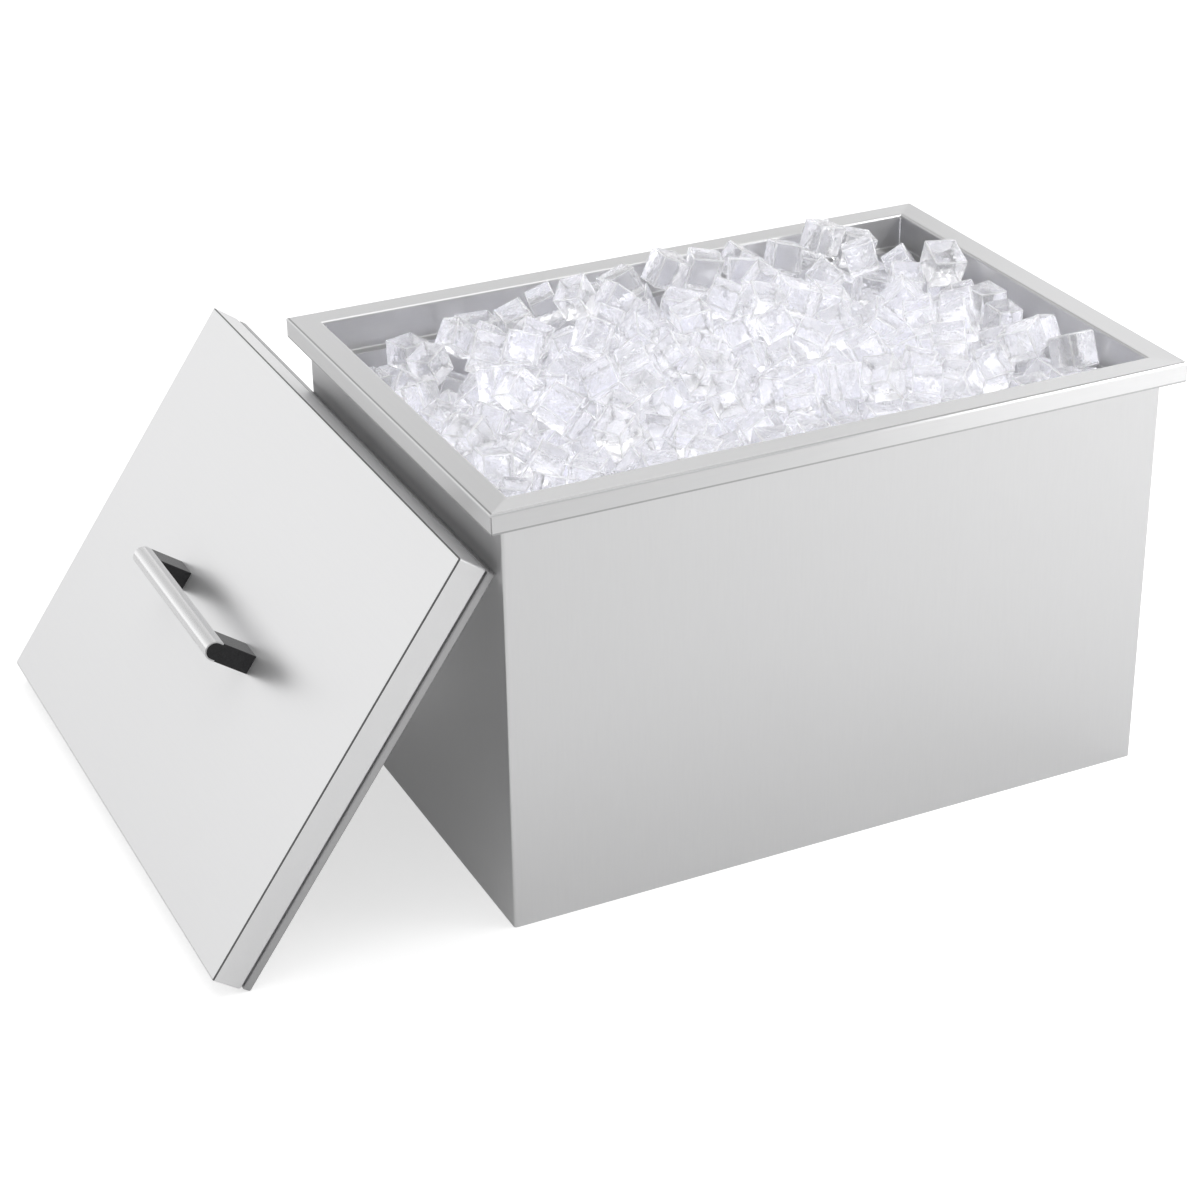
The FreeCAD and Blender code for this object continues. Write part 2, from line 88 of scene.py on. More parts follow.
# %% [markdown]
# ## Floor, background and light
# Materials, the floor and the world are all made of nodes. Adding a node, setting its sockets and
# linking it takes several lines each time, so a few short helpers do that for the whole lesson.

# %% Helpers for node trees
def node_tree(owner):
    """The owner's node tree, emptied."""
    owner.use_nodes = True
    owner.node_tree.nodes.clear()
    return owner.node_tree


def add_node(tree, kind, inputs=None, **settings):
    """Node with its settings, its socket values and its links, given by socket name or number."""
    node = tree.nodes.new(kind)
    for key, value in settings.items():
        setattr(node, key, value)
    for key, value in (inputs or {}).items():
        if isinstance(value, bpy.types.NodeSocket):
            tree.links.new(value, node.inputs[key])
        else:
            node.inputs[key].default_value = value
    return node


world = bpy.data.worlds.new("studio")
bpy.context.scene.world = world
tree = node_tree(world)
print("empty node tree for the world:", world.name)

# %% [markdown]
# Steel shows what stands around it, so the studio is as important as the metal. One white world would
# do, but then every sheet would be equally bright. So the world is plain white only for the camera.
# Steel and ice see walls that are bright near the horizon and dimmer overhead, with a dark patch low
# down in front of the bin, as a real studio has where its lamps don't reach. As a lamp the world is a
# soft white.

# %% Walls of the studio
HORIZON = 1.13
CEILING = 0.52
WALL_HEIGHTS = (0.15, 0.6)
DARK_CORNER = 0.08
DARK_TOWARDS = CAMERA_PLACE.normalized()
DARK_NEARNESS = (0.38, 0.74)
DARK_HEIGHTS = (0.12, 0.32)


def calculate(tree, operation, *values):
    """Result of a Math node for numbers or sockets."""
    return add_node(tree, "ShaderNodeMath", operation=operation, inputs=dict(enumerate(values))).outputs[0]


def fade(tree, value, places, ends):
    """Goes from one end to the other between two places of a value, and stays level beyond them."""
    return add_node(tree, "ShaderNodeMapRange", inputs={
        "Value": value, "From Min": places[0], "From Max": places[1],
        "To Min": ends[0], "To Max": ends[1]}).outputs[0]


def mix_numbers(tree, factor, first, second):
    """A number between two others."""
    mix = add_node(tree, "ShaderNodeMix", inputs={"Factor": factor, "A": first, "B": second})
    return mix.outputs["Result"]


looking = add_node(tree, "ShaderNodeTexCoord").outputs["Generated"]
height = add_node(tree, "ShaderNodeSeparateXYZ", inputs={"Vector": looking}).outputs["Z"]
nearness = add_node(tree, "ShaderNodeVectorMath", operation="DOT_PRODUCT",
                    inputs={0: looking, 1: DARK_TOWARDS}).outputs["Value"]
wall_level = fade(tree, height, WALL_HEIGHTS, (HORIZON, CEILING))
dark_level = fade(tree, nearness, DARK_NEARNESS, (1.0, DARK_CORNER))
low_down = fade(tree, height, DARK_HEIGHTS, (1.0, 0.0))
in_steel = calculate(tree, "MULTIPLY", wall_level, mix_numbers(tree, low_down, 1.0, dark_level))
print("steel sees", HORIZON, "at the horizon and", CEILING, "overhead")

# %% World
STUDIO_WHITE = (1.0, 1.0, 1.0, 1.0)
AMBIENT = 0.68


def background_rays(tree):
    """1 for rays that should see the studio: from the camera, in metal and through ice."""
    rays = add_node(tree, "ShaderNodeLightPath").outputs
    seen = calculate(tree, "MAXIMUM", rays["Is Camera Ray"], rays["Is Glossy Ray"])
    return calculate(tree, "MAXIMUM", seen, rays["Is Transmission Ray"])


strength = mix_numbers(tree, background_rays(tree), AMBIENT, in_steel)
direct = add_node(tree, "ShaderNodeLightPath").outputs["Is Camera Ray"]
strength = mix_numbers(tree, direct, strength, 1.0)
background = add_node(tree, "ShaderNodeBackground", inputs={"Color": STUDIO_WHITE, "Strength": strength})
add_node(tree, "ShaderNodeOutputWorld", inputs={"Surface": background.outputs[0]})
bpy.context.scene.view_settings.view_transform = "Standard"
print("world as a lamp:", AMBIENT)

# %% [markdown]
# The floor is a pale diffuse plane. Lit alone it would look grey, and with more light on it the bin
# would be too bright. So it has a little glow of its own for the camera and for reflections. It reads
# as white paper and still carries the bin's soft shadow.

# %% Floor
FLOOR_SIDE = 12.0
FLOOR_COLOUR = (0.64, 0.64, 0.64, 1.0)
GLOW_SEEN = 0.6
GLOW_REFLECTED = 0.13


def deselect_all():
    """Nothing selected, so that an operator acts only on what comes next."""
    if bpy.context.object and bpy.context.object.mode != "OBJECT":
        bpy.ops.object.mode_set(mode="OBJECT")
    bpy.ops.object.select_all(action="DESELECT")


deselect_all()
bpy.ops.mesh.primitive_plane_add(size=FLOOR_SIDE)
floor = bpy.context.object
floor.name = "floor"
paper = bpy.data.materials.new("studio_paper")
tree = node_tree(paper)
matt = add_node(tree, "ShaderNodeBsdfDiffuse", inputs={"Color": FLOOR_COLOUR})
in_steel = calculate(tree, "MULTIPLY", background_rays(tree), GLOW_REFLECTED)
direct = add_node(tree, "ShaderNodeLightPath").outputs["Is Camera Ray"]
glow_level = calculate(tree, "MULTIPLY_ADD", direct, GLOW_SEEN - GLOW_REFLECTED, in_steel)
glow = add_node(tree, "ShaderNodeEmission", inputs={"Color": STUDIO_WHITE, "Strength": glow_level})
both = add_node(tree, "ShaderNodeAddShader", inputs={0: matt.outputs[0], 1: glow.outputs[0]})
add_node(tree, "ShaderNodeOutputMaterial", inputs={"Surface": both.outputs[0]})
floor.data.materials.append(paper)
print("floor:", FLOOR_SIDE, "m square")

# %% [markdown]
# Four area lamps give the direction. A sun or a point lamp would leave hard spots on steel, and a large
# soft square doesn't. The one overhead lights the ice. The second shines on the floor at the right,
# which the front panel mirrors, so the panel brightens from left to right. The third stands low at the
# front right, where the skirt of the rim mirrors it, and the weak fourth is for the rim's far end.

# %% Lamps
LOOK_AT = Vector((-0.05, 0.0, 0.2))


def softbox(name, place, side, watts, look_at=LOOK_AT):
    """Square area lamp turned towards a place."""
    bpy.ops.object.light_add(type="AREA", location=place)
    lamp = bpy.context.object
    lamp.name = name
    lamp.data.size = side
    lamp.data.energy = watts
    lamp.rotation_mode = "QUATERNION"
    lamp.rotation_quaternion = (look_at - Vector(place)).to_track_quat("-Z", "Y")


softbox("overhead_softbox", (0.0, 0.3, 2.4), side=2.4, watts=20.0)
softbox("floor_softbox", (1.0, -0.65, 0.95), side=0.7, watts=7.7, look_at=Vector((0.8, -0.55, 0.0)))
softbox("front_right_softbox", (1.12, -1.23, 0.45), side=0.9, watts=2.0)
softbox("far_right_softbox", (1.5, 1.3, 1.2), side=0.9, watts=0.85)

# %% [markdown]
# ## Finishes
# Stainless sheet for kitchens is brushed: an abrasive belt leaves fine scratches in one direction. A
# picture of scratches could be mapped on it, but a noise pattern that is squeezed across the grain and
# stretched along it does the same with no picture. All patterns use the piece's own coordinates, so
# they stay in place when the lid moves.

# %% Noise patterns
NOISE_RANGE = (0.3, 0.7)
GRAIN_ACROSS = 700.0
GRAIN_ALONG = 45.0


def object_pattern(tree, scale=(1, 1, 1), tilt=0.0):
    """Object coordinates, tilted about Y and scaled, for a pattern that stays on the piece."""
    place = add_node(tree, "ShaderNodeTexCoord")
    return add_node(tree, "ShaderNodeMapping", inputs={
        "Vector": place.outputs["Object"], "Rotation": (0, tilt, 0), "Scale": scale}).outputs[0]


def noise_value(tree, vector, scale, detail=2.0):
    """Noise between 0 and 1 over a vector."""
    return add_node(tree, "ShaderNodeTexNoise", inputs={
        "Vector": vector, "Scale": scale, "Detail": detail}).outputs["Fac"]


def mapped(tree, value, low, high):
    """The middle of a noise's range spread between two values."""
    return fade(tree, value, NOISE_RANGE, (low, high))


print("grain", round(1 / GRAIN_ACROSS / MM, 1), "mm across and", round(1 / GRAIN_ALONG / MM), "mm along")

# %% [markdown]
# The steel mixes fine streaks and soft clouds. Both vary the roughness and tint the metal a little, and
# the clouds feed a very low bump, because thin sheet is never quite flat. Scratches draw a highlight
# out across them. The anisotropic setting does that, with a tangent that runs round the grain's axis.

# %% Brushed steel
GRAIN_STRETCH = 0.9
CLOUD_SCALE = 5.0
CLOUD_SHARE = 0.4
STREAK_SHARE = 0.6
WAVE_STRENGTH = 0.02
WAVE_HEIGHT = 2.0 * MM
SATIN = (0.28, 0.3)
STEEL = ((0.74, 0.74, 0.744, 1.0), (0.758, 0.758, 0.762, 1.0))
# numbers of the colour sockets of a Mix node
COLOUR_A, COLOUR_B, COLOUR_RESULT = 6, 7, 2


def mix_colours(tree, factor, first, second, blend_type="MIX"):
    """A colour between two others, or the first one multiplied by the second."""
    mix = add_node(tree, "ShaderNodeMix", data_type="RGBA", blend_type=blend_type, inputs={
        "Factor": factor, COLOUR_A: first, COLOUR_B: second})
    return mix.outputs[COLOUR_RESULT]


def brushed_steel(name, grain, rough=SATIN, tones=STEEL, stretch=GRAIN_STRETCH, tilt=0.0,
                  metallic=1.0, painted_shades=()):
    """Stainless steel with its grain along one axis of the piece, and painted shade where a mask says so."""
    material = bpy.data.materials.new(name)
    tree = node_tree(material)
    scale = [GRAIN_ACROSS] * 3
    scale["XYZ".index(grain)] = GRAIN_ALONG
    streaks = noise_value(tree, object_pattern(tree, scale, tilt), 1.0)
    clouds = noise_value(tree, object_pattern(tree), CLOUD_SCALE)
    blend = calculate(tree, "MULTIPLY", clouds, CLOUD_SHARE)
    blend = calculate(tree, "MULTIPLY_ADD", streaks, STREAK_SHARE, blend)
    tone = mix_colours(tree, mapped(tree, blend, 0.0, 1.0), *tones)
    # Each mask multiplies painted shade into the colour.
    for mask, shade in painted_shades:
        tone = mix_colours(tree, mask(tree), tone, shade, "MULTIPLY")
    bump = add_node(tree, "ShaderNodeBump", inputs={
        "Strength": WAVE_STRENGTH, "Distance": WAVE_HEIGHT, "Height": clouds})
    around = add_node(tree, "ShaderNodeTangent", direction_type="RADIAL", axis=grain)
    shader = add_node(tree, "ShaderNodeBsdfPrincipled", inputs={
        "Base Color": tone, "Metallic": metallic, "Roughness": mapped(tree, blend, *rough),
        "Anisotropic": stretch, "Tangent": around.outputs[0], "Normal": bump.outputs[0]})
    add_node(tree, "ShaderNodeOutputMaterial", inputs={"Surface": shader.outputs[0]})
    return material


steel_upright = brushed_steel("brushed_steel_upright", "Z")
print(steel_upright.name, "has", len(steel_upright.node_tree.nodes), "nodes")

# %% [markdown]
# Some thin dark lines are painted into the steel's colour: a painted shadow along the bottom of the
# rim's skirt, and painted dark reflections on the bend above it and on the bend round the lid's face.
# They could be thin pieces of their own, but a line this fine is easier in the material. A point belongs
# to a line when it lies near a set distance along one direction. The rim's faces that line the well are
# darker, too, which is painted shade.

# %% Painted shade lines on the rim
UP = (0.0, 0.0, 1.0)
FLANGE_WIDTH = 20.0 * MM
SKIRT_DROP = 14.0 * MM
SKIRT_BAND = 8.0 * MM
WELL_BAND = 0.4 * MM
# Where the painted shadow under the skirt and the painted dark reflection on the rim's bend lie.
SKIRT_SHADOW_HALF = 0.55 * MM
RIM_BEND_DOWN = 0.24 * MM
RIM_BEND_HALF = 0.22 * MM
rim_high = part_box("rim_front")[1]
rim_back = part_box("rim_back")[1].y
skirt_inside = (rim_high.x - SKIRT_BAND, rim_back - SKIRT_BAND)
well_inside = (rim_high.x - FLANGE_WIDTH + WELL_BAND, rim_back - FLANGE_WIDTH + WELL_BAND)


def line_mask(tree, direction, place, half_width):
    """1 on a thin line of the piece, where its points lie near a place along a direction."""
    point = add_node(tree, "ShaderNodeTexCoord").outputs["Object"]
    along = add_node(tree, "ShaderNodeVectorMath", operation="DOT_PRODUCT",
                     inputs={0: point, 1: direction}).outputs["Value"]
    return calculate(tree, "COMPARE", along, place, half_width)


def beyond(tree, half_length, half_depth):
    """1 outside an upright box round the middle of the bin, 0 inside it."""
    point = add_node(tree, "ShaderNodeTexCoord").outputs["Object"]
    axes = add_node(tree, "ShaderNodeSeparateXYZ", inputs={"Vector": point}).outputs
    sides = [calculate(tree, "GREATER_THAN", calculate(tree, "ABSOLUTE", axes[axis]), limit)
             for axis, limit in (("X", half_length), ("Y", half_depth))]
    return calculate(tree, "MAXIMUM", *sides)


def rim_painted_shade_lines(tree):
    """1 on the painted shadow along the bottom of the rim's skirt and the painted dark reflection on the bend
    above it.
    """
    # Painted shade: a shadow line along the bottom of the skirt and a dark reflection on the bend.
    cut = line_mask(tree, UP, rim_high.z - SKIRT_DROP + SKIRT_SHADOW_HALF, SKIRT_SHADOW_HALF)
    bend = line_mask(tree, UP, rim_high.z - RIM_BEND_DOWN, RIM_BEND_HALF)
    return calculate(tree, "MULTIPLY", calculate(tree, "MAXIMUM", cut, bend), beyond(tree, *skirt_inside))


def painted_well_shade_mask(tree):
    """1 on the faces of the rim that line the well, where shade is painted."""
    return calculate(tree, "SUBTRACT", 1.0, beyond(tree, *well_inside))


print("rim's top at", round(rim_high.z, 4), "m, cut edge", round(SKIRT_DROP / MM), "mm lower")

# %% Painted dark reflection on the lid's bend
LID_LEAN = math.radians(55.0)
LID_NORMAL = Vector((-math.sin(LID_LEAN), 0.0, math.cos(LID_LEAN)))
LID_FACE = max(LID_NORMAL.dot(point.co) for point in nodes["lid_top_pan"].data.vertices)
LID_BEND_DOWN = 0.6 * MM
LID_BEND_HALF = 0.5 * MM


def painted_bend_reflection(tree):
    """1 on the bend between the lid's face and its skirt, where a dark reflection is painted."""
    return line_mask(tree, LID_NORMAL, LID_FACE - LID_BEND_DOWN, LID_BEND_HALF)


print("lid's face at", round(LID_FACE, 4), "m along its normal")

# %% [markdown]
# Each sheet has its own grain direction, so each gets a finish of its own. The well's steel has a darker
# tone, which is painted shade. The lid's lower pan is rougher, as the mill rolled it, and its darker
# tone is painted shade at the lid's lip. The lid's face has such a fine matt grain that it is partly
# diffuse. The handle's bar is the brightest metal. One material with many switches could do all this,
# but separate ones are easier to change.

# %% Steel finishes
# The well's tones are darker than the sheet's, which is painted shade.
PAINTED_WELL_TONES = ((0.565, 0.565, 0.57, 1.0), (0.595, 0.595, 0.6, 1.0))
LID_STEEL = ((0.83, 0.83, 0.835, 1.0), (0.845, 0.845, 0.85, 1.0))
# The lower pan's darker tones paint the shade at the lid's lip.
MILL_PAINTED_SHADE_TONES = ((0.46, 0.46, 0.465, 1.0), (0.5, 0.5, 0.505, 1.0))
HANDLE_METAL = ((0.86, 0.86, 0.865, 1.0), (0.9, 0.9, 0.905, 1.0))
# Painted shade on the rim's faces that line the well.
PAINTED_WELL_SHADE = (0.78, 0.78, 0.78, 1.0)
# Painted shade for the rim's shadow line under the skirt and its dark reflection on the bend.
RIM_PAINTED_LINE_SHADE = (0.62, 0.62, 0.62, 1.0)
# Painted dark reflection on the bend round the lid's face.
LID_PAINTED_REFLECTION_SHADE = (0.2, 0.2, 0.2, 1.0)
RIM_PAINTED_SHADES = ((painted_well_shade_mask, PAINTED_WELL_SHADE), (rim_painted_shade_lines, RIM_PAINTED_LINE_SHADE))
LID_PAINTED_SHADES = ((painted_bend_reflection, LID_PAINTED_REFLECTION_SHADE),)
steel_along_x = brushed_steel("brushed_steel_along_x", "X")
# The well's walls and floor get the darker tones of painted shade.
well_painted_shade_x = brushed_steel("well_steel_painted_shade_x", "X", tones=PAINTED_WELL_TONES)
well_painted_shade_y = brushed_steel("well_steel_painted_shade_y", "Y", tones=PAINTED_WELL_TONES)
rim_along_x = brushed_steel("rim_steel_along_x", "X", painted_shades=RIM_PAINTED_SHADES)
rim_along_y = brushed_steel("rim_steel_along_y", "Y", painted_shades=RIM_PAINTED_SHADES)
steel_lid = brushed_steel("brushed_steel_lid", "Y", rough=(0.32, 0.36), tones=LID_STEEL, stretch=0.0,
                          tilt=LID_LEAN, metallic=0.75, painted_shades=LID_PAINTED_SHADES)
# Rougher mill finish on the lid's lower pan, with tones darkened as painted shade.
lip_painted_shade_steel = brushed_steel("mill_finish_painted_shade", "Y", rough=(0.4, 0.46), tones=MILL_PAINTED_SHADE_TONES, stretch=0.0, tilt=LID_LEAN)
steel_turned = brushed_steel("turned_steel", "Z", rough=(0.12, 0.2), stretch=0.0)
handle_metal = brushed_steel("satin_handle_metal", "Y", rough=(0.2, 0.26), tones=HANDLE_METAL, stretch=0.0)
print("duller and brighter metals:", well_painted_shade_x.name, lip_painted_shade_steel.name, steel_lid.name, handle_metal.name)

# %% [markdown]
# The handle's legs are moulded plastic, the drain's seal and plug are rubber, the walls are filled with
# rigid foam, and the screws are plated with zinc. None of these has a direction, so a noise that is the
# same all ways does for all four. It shifts tone and roughness a little and feeds a low bump.

# %% Plastics, rubber, foam and zinc
SPECKLE_DETAIL = 4.0
SPECKLE_STRENGTH = 0.3
ROUGH_SPREAD = 0.04
PLASTIC_IOR = 1.5


def grained(name, dark, light, pattern_scale, rough, bump_height, metallic=0.0):
    """Finish with a fine all-over grain, such as moulded plastic, rubber or foam."""
    material = bpy.data.materials.new(name)
    tree = node_tree(material)
    grain = noise_value(tree, object_pattern(tree), pattern_scale, SPECKLE_DETAIL)
    tone = mix_colours(tree, mapped(tree, grain, 0.0, 1.0), (*dark, 1.0), (*light, 1.0))
    bump = add_node(tree, "ShaderNodeBump", inputs={
        "Strength": SPECKLE_STRENGTH, "Distance": bump_height, "Height": grain})
    shader = add_node(tree, "ShaderNodeBsdfPrincipled", inputs={
        "Base Color": tone, "Metallic": metallic, "IOR": PLASTIC_IOR,
        "Roughness": mapped(tree, grain, rough - ROUGH_SPREAD, rough + ROUGH_SPREAD),
        "Normal": bump.outputs[0]})
    add_node(tree, "ShaderNodeOutputMaterial", inputs={"Surface": shader.outputs[0]})
    return material


handle_plastic = grained("black_moulded_plastic", (0.014, 0.014, 0.015), (0.022, 0.022, 0.024),
                         pattern_scale=900.0, rough=0.2, bump_height=0.03 * MM)
drain_rubber = grained("drain_rubber", (0.015, 0.015, 0.015), (0.035, 0.035, 0.034),
                       pattern_scale=600.0, rough=0.6, bump_height=0.2 * MM)
insulation_foam = grained("insulation_foam", (0.70, 0.62, 0.42), (0.86, 0.79, 0.58),
                          pattern_scale=450.0, rough=0.85, bump_height=0.6 * MM)
zinc = grained("bright_zinc", (0.55, 0.56, 0.58), (0.72, 0.73, 0.76),
               pattern_scale=260.0, rough=0.25, bump_height=0.1 * MM, metallic=1.0)
print("grained finishes:", handle_plastic.name, drain_rubber.name, insulation_foam.name, zinc.name)

# %% [markdown]
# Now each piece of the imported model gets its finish. Its mesh stays as it is, and only its material slot
# changes. A table from piece to finish is easier to read than a chain of tests. The pieces that the
# table leaves out are the foam.

# %% Dress the nodes
FINISHES = {
    "rim_front": rim_along_x, "rim_back": rim_along_x, "rim_left": rim_along_y, "rim_right": rim_along_y,
    "tank_front_wall": well_painted_shade_x, "tank_back_wall": well_painted_shade_x, "tank_left_wall": well_painted_shade_y,
    "tank_right_wall": well_painted_shade_y, "tank_floor": well_painted_shade_x,
    "casing_front": steel_upright, "casing_back": steel_upright, "casing_left": steel_upright,
    "casing_right": steel_upright, "casing_base": steel_along_x,
    "drain_body": steel_turned, "drain_strainer": steel_turned, "drain_lock_nut": steel_turned,
    "drain_gasket": drain_rubber, "drain_plug": drain_rubber,
    "lid_top_pan": steel_lid, "lid_bottom_pan": lip_painted_shade_steel,
    "handle_bar": handle_metal, "handle_leg_front": handle_plastic, "handle_leg_back": handle_plastic,
    "handle_screws": zinc, "handle_washers": zinc,
}
for name, node in nodes.items():
    node.data.materials.clear()
    node.data.materials.append(FINISHES.get(name, insulation_foam))
worn = [node.data.materials[0].name for node in nodes.values()]
print("nodes in each finish:", {name: worn.count(name) for name in sorted(set(worn))})

# %% [markdown]
# ## Weld beads in the corners of the well
# The rim's four strips meet in mitres, and the welder runs a bead down each inside corner. A bead is
# a row of small overlapping puddles. A row of spheres would do, but it has many faces that nobody
# sees. A thin cylinder is cut into rings instead, and every other ring is squeezed a little, which
# gives the same ripple.

# %% One weld bead
BEAD_RADIUS = 1.1 * MM
BEAD_SIDES = 10
BEAD_RINGS = 12
BEAD_WAIST = 0.86
LEDGE_DROP = 25.0 * MM
bead_top = rim_high.z - 2 * BEAD_RADIUS
bead_bottom = rim_high.z - LEDGE_DROP
bead_length = bead_top - bead_bottom


def weld_bead(x, y):
    """Upright rippled bead in one corner of the well."""
    deselect_all()
    bpy.ops.mesh.primitive_cylinder_add(vertices=BEAD_SIDES, radius=BEAD_RADIUS, depth=bead_length,
                                        location=(x, y, (bead_top + bead_bottom) / 2))
    bead = bpy.context.object
    points = bead.data.vertices
    bpy.ops.object.mode_set(mode="EDIT")
    bpy.ops.mesh.select_mode(type="EDGE")
    bpy.ops.mesh.select_all(action="DESELECT")
    bpy.ops.object.mode_set(mode="OBJECT")
    for edge in bead.data.edges:
        low, high = (points[i].co.z for i in edge.vertices)
        edge.select = abs(high - low) > BEAD_RADIUS
    bpy.ops.object.mode_set(mode="EDIT")
    bpy.ops.mesh.subdivide(number_cuts=2 * BEAD_RINGS - 1)
    bpy.ops.mesh.select_mode(type="VERT")
    bpy.ops.mesh.select_all(action="DESELECT")
    bpy.ops.object.mode_set(mode="OBJECT")
    for point in points:
        ring = round((point.co.z / bead_length + 0.5) * 2 * BEAD_RINGS)
        point.select = ring % 2 == 0
    bpy.ops.object.mode_set(mode="EDIT")
    bpy.ops.transform.resize(value=(BEAD_WAIST, BEAD_WAIST, 1.0))
    bpy.ops.object.mode_set(mode="OBJECT")
    bpy.ops.object.shade_smooth()
    return bead


print("bead", round(bead_length / MM, 1), "mm long")

# %% Four beads in one piece
BEAD_SUNK = 0.5 * BEAD_RADIUS
corner_x = rim_high.x - FLANGE_WIDTH - BEAD_SUNK
corner_y = rim_back - FLANGE_WIDTH - BEAD_SUNK


def join_all(pieces, name):
    """The pieces as one object, with its place in its mesh."""
    deselect_all()
    for piece in pieces:
        piece.select_set(True)
    bpy.context.view_layer.objects.active = pieces[0]
    bpy.ops.object.join()
    bpy.ops.object.transform_apply(location=True, rotation=True, scale=True)
    pieces[0].name = name
    return pieces[0]


beads = [weld_bead(x * corner_x, y * corner_y) for x in (-1, 1) for y in (-1, 1)]
welds = join_all(beads, "well_corner_welds")
welds.data.materials.append(steel_turned)
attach(welds, "bin")
print("weld beads:", len(welds.data.polygons), "faces")

# %% [markdown]
# ## Ice cubes
# Clear ice refracts, and small cracks and bubbles make it milky inside. Glass alone would look too
# hard, so a small share of each cube scatters light, with faint lavender clouds, and a weak glow
# stands for the light that bounces about in the heap. The edges get a whiter, milkier material of
# their own, which paints the bright highlight along them while the faces stay clear.

# %% Ice finishes
ICE_IOR = 1.31
ICE_ROUGHNESS = 0.02
ICE_CLOUDS = (55.0, 3.0)
ICE_RIPPLES = (170.0, 2.0)
RIPPLE_STRENGTH = 0.7
RIPPLE_HEIGHT = 2.0 * MM
SCATTER_DEPTH = 10.0 * MM
GLOW_COLOUR = (0.96, 0.96, 1.0, 1.0)
GLOW = 0.075


def ice_finish(name, dark, clear):
    """Ice: a clear share that refracts, a milky share with faint lavender clouds, and a weak glow."""
    material = bpy.data.materials.new(name)
    tree = node_tree(material)
    clouds = noise_value(tree, object_pattern(tree), *ICE_CLOUDS)
    ripples = noise_value(tree, object_pattern(tree), *ICE_RIPPLES)
    tone = mix_colours(tree, mapped(tree, clouds, 0.0, 1.0), dark, STUDIO_WHITE)
    bump = add_node(tree, "ShaderNodeBump", inputs={
        "Strength": RIPPLE_STRENGTH, "Distance": RIPPLE_HEIGHT, "Height": ripples})
    shader = add_node(tree, "ShaderNodeBsdfPrincipled", inputs={
        "Base Color": tone, "IOR": ICE_IOR, "Transmission Weight": clear, "Roughness": ICE_ROUGHNESS,
        "Subsurface Weight": 1.0, "Subsurface Radius": (1.0, 1.0, 1.0), "Subsurface Scale": SCATTER_DEPTH,
        "Emission Color": GLOW_COLOUR, "Emission Strength": GLOW, "Normal": bump.outputs[0]})
    add_node(tree, "ShaderNodeOutputMaterial", inputs={"Surface": shader.outputs[0]})
    return material


ice_clear = ice_finish("clear_ice", dark=(0.93, 0.93, 0.985, 1.0), clear=0.97)
# The bevelled edges' whiter, milkier ice paints their bright highlight.
edge_ice_painted_highlight = ice_finish("ice_edge_painted_highlight", dark=(0.96, 0.96, 0.99, 1.0), clear=0.7)
print("ice finishes:", ice_clear.name, edge_ice_painted_highlight.name)

# %% [markdown]
# One cube is modelled from a primitive: tapered as it comes from its mould, knocked a little out of
# shape and bevelled. A subdivision surface would round it, too, but takes many more faces, and there
# are hundreds of cubes. The bevel takes the whiter ice that paints the edge highlight. Five cubes with
# different knocks are enough, because copies turned at random look different.

# %% One ice cube
POUR_SCALE = 10.0
CUBE_SIDE = 23.5 * MM * POUR_SCALE
CUBE_TAPER = 0.93
CUBE_KNOCK = 1.1 * MM * POUR_SCALE
CUBE_BEVEL = 1.2 * MM * POUR_SCALE
BEVEL_STEPS = 2
SHARP_ANGLE = math.radians(40)
CUBE_MODELS = 5


def ice_cube(seed):
    """Tapered, slightly uneven cube with bevelled edges, ten times its real size for the pour."""
    deselect_all()
    bpy.ops.mesh.primitive_cube_add(size=CUBE_SIDE)
    cube = bpy.context.object
    cube.data.materials.append(ice_clear)
    cube.data.materials.append(edge_ice_painted_highlight)
    for face in cube.data.polygons:
        face.select = face.normal.z > 0.5
    bpy.ops.object.mode_set(mode="EDIT")
    bpy.ops.mesh.select_mode(type="FACE")
    bpy.ops.transform.resize(value=(CUBE_TAPER, CUBE_TAPER, 1.0))
    bpy.ops.mesh.select_all(action="SELECT")
    bpy.ops.transform.vertex_random(offset=CUBE_KNOCK, uniform=1.0, seed=seed)
    bpy.ops.mesh.bevel(offset=CUBE_BEVEL, segments=BEVEL_STEPS, affect="EDGES", material=1)
    bpy.ops.object.mode_set(mode="OBJECT")
    bpy.ops.object.shade_smooth_by_angle(angle=SHARP_ANGLE)
    return cube


models = [ice_cube(seed) for seed in range(CUBE_MODELS)]
print("one cube:", len(models[0].data.polygons), "faces")

# %% [markdown]
# ## Pouring the ice
# The cubes could be scattered by hand, but cubes that really fell on each other touch and tilt in a way
# that is hard to fake, so they are poured with rigid body physics. Physics engines are steadiest with
# things about as large as a box of oranges, so the pour happens at ten times the real size, and the
# ice is shrunk afterwards. First the cubes are set out in layers, each turned at random from a set
# seed, so that every run gives the same heap.

# %% Set out the cubes
POUR_SEED = 11
PITCH = 41.0 * MM * POUR_SCALE
LAYERS = 13
LIFT = 0.45
SIZE_SPREAD = 0.1
chance = random.Random(POUR_SEED)
pour_length = (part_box("tank_right_wall")[0].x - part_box("tank_left_wall")[1].x) * POUR_SCALE
pour_depth = (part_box("tank_back_wall")[0].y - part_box("tank_front_wall")[1].y) * POUR_SCALE


def drop_cube(place):
    """Copy of one of the modelled cubes, turned at random, with its own mesh and size."""
    cube = chance.choice(models).copy()
    cube.data = cube.data.copy()
    grow = chance.uniform(1 - SIZE_SPREAD, 1 + SIZE_SPREAD)
    cube.data.transform(Matrix.Scale(grow, 4))
    cube.location = place
    cube.rotation_euler = [chance.uniform(0, 2 * math.pi) for axis in range(3)]
    bpy.context.scene.collection.objects.link(cube)
    return cube


